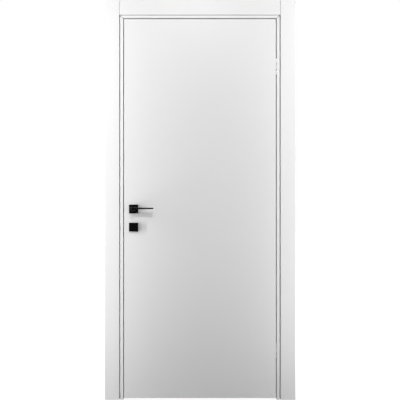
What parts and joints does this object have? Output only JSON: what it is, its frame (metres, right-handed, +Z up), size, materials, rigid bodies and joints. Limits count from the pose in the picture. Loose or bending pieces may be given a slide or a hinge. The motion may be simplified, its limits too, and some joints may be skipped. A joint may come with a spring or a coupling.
{
  "type": "interior door",
  "caption": "Flush white interior door in its cased frame, hung on concealed hinges, with black lever handles and a privacy turn.",
  "frame": {"origin": "on the hinge-side jamb's outer face, at floor level, halfway through the wall's thickness", "axes": "+X from the door into the wall at the hinge side, +Y from the front, which the leaf opens towards, to the back, +Z up"},
  "size_m": [1.008, 0.17, 2.1105],
  "materials": {
    "white_enamel": "satin white enamel",
    "core_board": "raw chipboard",
    "black_metal": "matt black",
    "satin_steel": "satin",
    "seal_rubber": "matt"
  },
  "bodies": {
    "frame": {"hinge_jamb": "white_enamel", "lock_jamb": "white_enamel", "head_jamb": "white_enamel", "hinge_side_stop": "white_enamel", "lock_side_stop": "white_enamel", "head_stop": "white_enamel", "front_casing_hinge_side": "white_enamel", "front_casing_lock_side": "white_enamel", "front_casing_head": "white_enamel", "back_casing_hinge_side": "white_enamel", "back_casing_lock_side": "white_enamel", "back_casing_head": "white_enamel", "hinge_side_seal": "seal_rubber", "lock_side_seal": "seal_rubber", "head_seal": "seal_rubber", "strike_plate": "satin_steel", "upper_frame_hinge_cup": "satin_steel", "lower_frame_hinge_cup": "satin_steel"},
    "leaf": {"leaf_front_skin": "white_enamel", "leaf_back_skin": "white_enamel", "leaf_hinge_edge": "white_enamel", "leaf_lock_edge": "white_enamel", "leaf_top_edge": "white_enamel", "leaf_bottom_edge": "white_enamel", "leaf_core": "core_board", "lock_forend": "satin_steel", "lock_case": "satin_steel", "latch_bolt": "satin_steel", "privacy_bolt": "satin_steel", "upper_leaf_hinge_cup": "satin_steel", "lower_leaf_hinge_cup": "satin_steel", "front_lever_rose": "black_metal", "back_lever_rose": "black_metal", "front_privacy_rose": "black_metal", "back_privacy_rose": "black_metal"},
    "hinge_arms": {"upper_hinge_arms": "satin_steel", "lower_hinge_arms": "satin_steel"},
    "handle": {"front_lever": "black_metal", "back_lever": "black_metal", "lever_spindle": "satin_steel"},
    "privacy_turn": {"release_disc": "black_metal", "thumb_turn": "black_metal", "turn_spindle": "satin_steel"}
  },
  "joints": [
    {"name": "leaf_swing", "type": "hinge", "parent": "frame", "child": "leaf", "pos_m": [-0.0345, -0.061, 0], "axis": [0, 0, 1], "range_deg": [0, 110]},
    {"name": "hinge_arms_turn", "type": "hinge", "parent": "frame", "child": "hinge_arms", "pos_m": [-0.0345, -0.061, 0], "axis": [0, 0, 1], "range_deg": [0, 55]},
    {"name": "lever_turn", "type": "hinge", "parent": "leaf", "child": "handle", "pos_m": [-0.787, -0.04, 1.008], "axis": [0, 1, 0], "range_deg": [0, 40], "stiffness_Nm_per_rad": 1.2, "springref_deg": -22.92},
    {"name": "privacy_turn", "type": "hinge", "parent": "leaf", "child": "privacy_turn", "pos_m": [-0.787, -0.04, 0.912], "axis": [0, 1, 0], "range_deg": [0, 90]}
  ],
  "couplings": [
    {"joint": "hinge_arms_turn", "follows": "leaf_swing", "ratio": 0.5}
  ]
}
